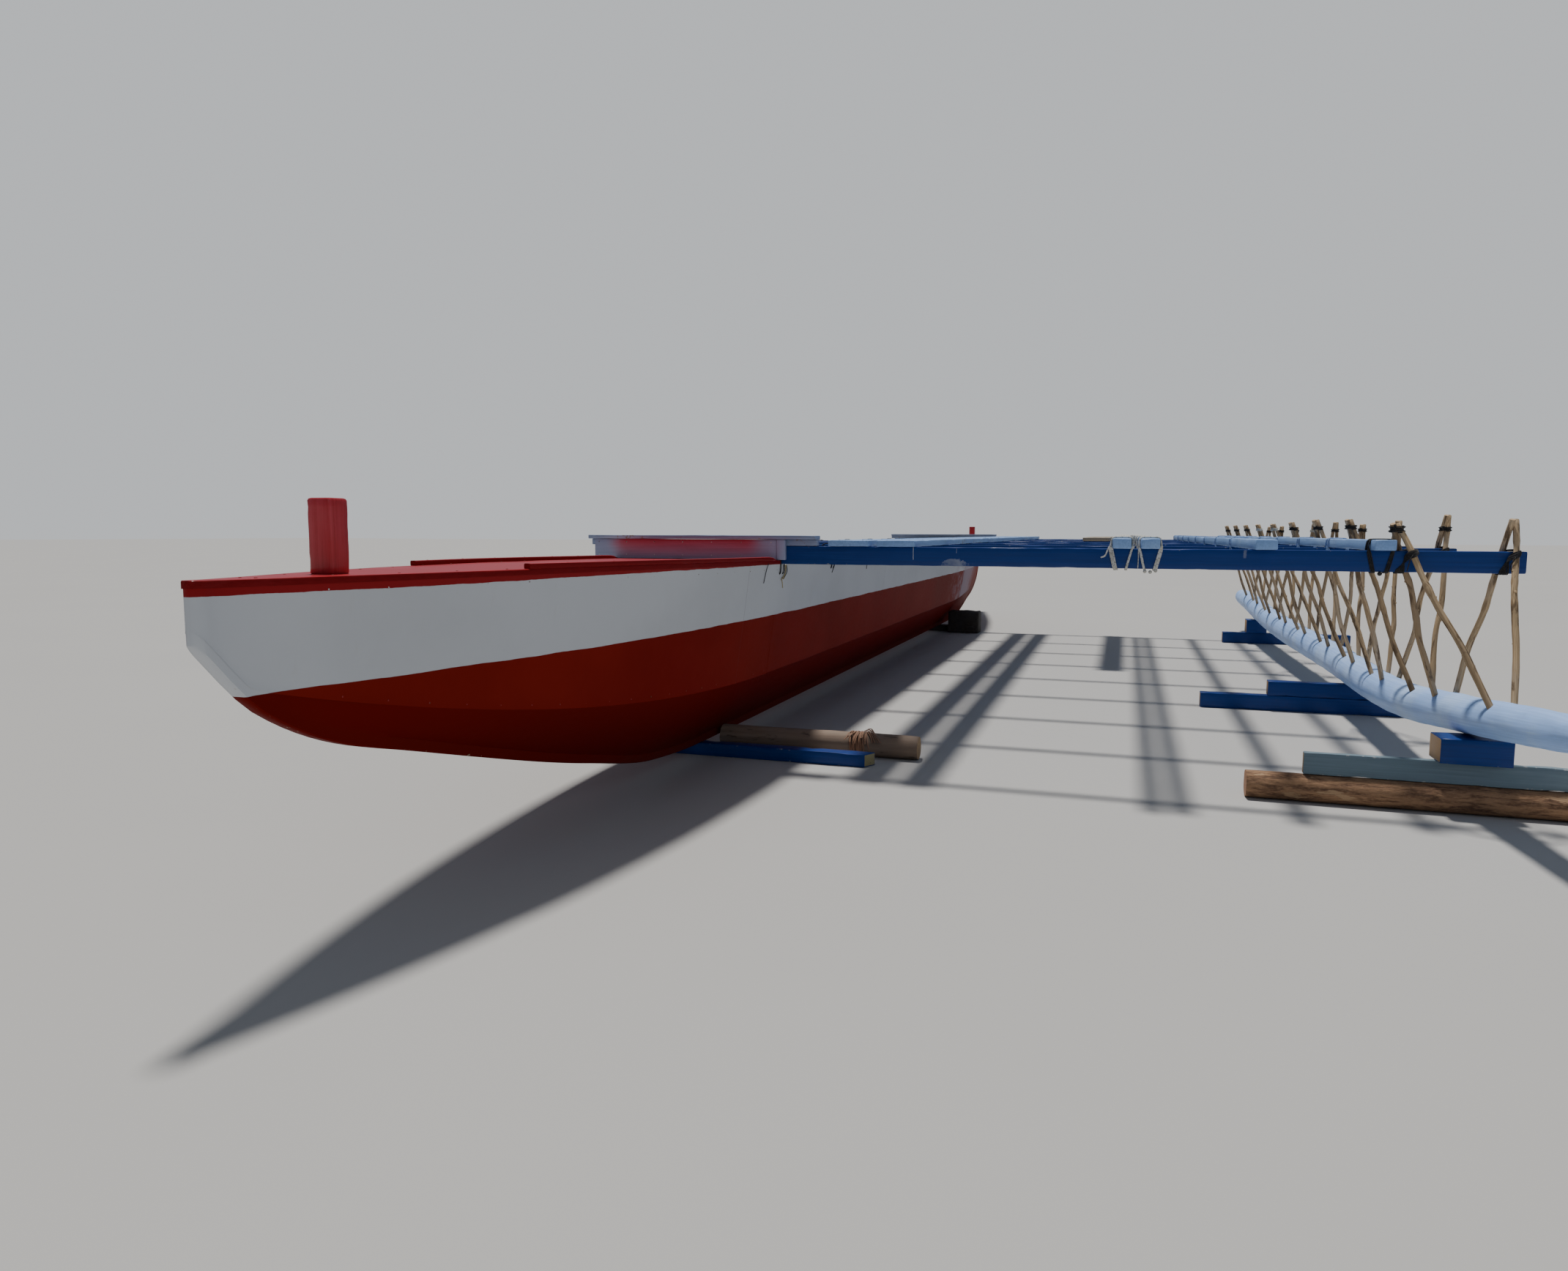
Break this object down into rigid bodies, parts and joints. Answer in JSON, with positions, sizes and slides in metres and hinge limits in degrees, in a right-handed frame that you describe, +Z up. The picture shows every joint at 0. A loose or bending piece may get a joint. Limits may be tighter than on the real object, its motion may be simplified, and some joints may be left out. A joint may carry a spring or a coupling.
{
  "type": "outrigger canoe",
  "caption": "Plank-built outrigger canoe with decked ends, crossbeams, platform planks and a log float on lashed V struts, standing ashore on timber chocks.",
  "frame": {"origin": "centre of the underside of the object's box, on the ground that it stands on", "axes": "+Z up, +X along the hull to the bow, +Y across to the float"},
  "size_m": [16.278, 5.906, 1.493],
  "materials": {
    "hull_white": "brushed white oil paint on planking, red below a hand-painted line",
    "hull_red": "brushed dark red oil paint on planking",
    "deck_red": "gloss red oil paint with a ragged lower edge",
    "panel_white": "brushed bluish white paint",
    "plank_pale_blue": "brushed pale blue paint, worn at the edges",
    "beam_blue": "brushed deep blue gloss paint",
    "float_sky_blue": "sky blue paint over an adzed log",
    "stick_wood": "peeled sticks with knots and pale cut ends",
    "raw_timber": "bare sawn timber",
    "log_bark": "log with bark and scraped patches",
    "weathered_grey": "thin grey-blue paint over weathered timber",
    "inside_paint": "thin white priming over bare timber",
    "dark_timber": "dark weathered timber",
    "cord_black": "black twine",
    "cord_natural": "natural fibre rope"
  },
  "bodies": {
    "root": {"hull_side_float": "hull_white", "hull_side_lee": "hull_white", "hull_bottom_float": "hull_red", "hull_bottom_lee": "hull_red", "keel": "hull_red", "hull_end_bow": "hull_white", "hull_end_stern": "hull_white", "deck_bow": "deck_red", "deck_stern": "deck_red", "end_panel_bow": "panel_white", "end_panel_stern": "panel_white", "end_cap_bow": "plank_pale_blue", "end_cap_stern": "plank_pale_blue", "hull_framing": "inside_paint", "crossbeam_1": "beam_blue", "crossbeam_2": "beam_blue", "crossbeam_3": "beam_blue", "crossbeam_4": "beam_blue", "crossbeam_5": "beam_blue", "crossbeam_6": "beam_blue", "crossbeam_7": "beam_blue", "crossbeam_8": "beam_blue", "crossbeam_9": "beam_blue", "platform_plank_1": "plank_pale_blue", "platform_plank_2": "plank_pale_blue", "stringer_mid_1": "plank_pale_blue", "stringer_mid_2": "plank_pale_blue", "stringer_outer_1": "plank_pale_blue", "stringer_outer_2": "plank_pale_blue", "loose_board": "raw_timber", "float": "float_sky_blue", "strut_inner_1": "stick_wood", "strut_inner_2": "stick_wood", "strut_inner_3": "stick_wood", "strut_inner_4": "stick_wood", "strut_inner_5": "stick_wood", "strut_inner_6": "stick_wood", "strut_inner_7": "stick_wood", "strut_inner_8": "stick_wood", "strut_inner_9": "stick_wood", "strut_outer_1": "stick_wood", "strut_outer_2": "stick_wood", "strut_outer_3": "stick_wood", "strut_outer_4": "stick_wood", "strut_outer_5": "stick_wood", "strut_outer_6": "stick_wood", "strut_outer_7": "stick_wood", "strut_outer_8": "stick_wood", "strut_outer_9": "stick_wood", "chock_hull_log": "log_bark", "chock_hull_plank": "beam_blue", "chock_keel_block": "dark_timber", "chock_bilge_block": "dark_timber", "chock_float_log": "log_bark", "chock_float_plank": "weathered_grey", "chock_float_timber": "beam_blue", "chock_float_mid_planks": "beam_blue", "chock_float_far_plank": "beam_blue", "chock_float_far_block": "dark_timber"}
  },
  "joints": []
}
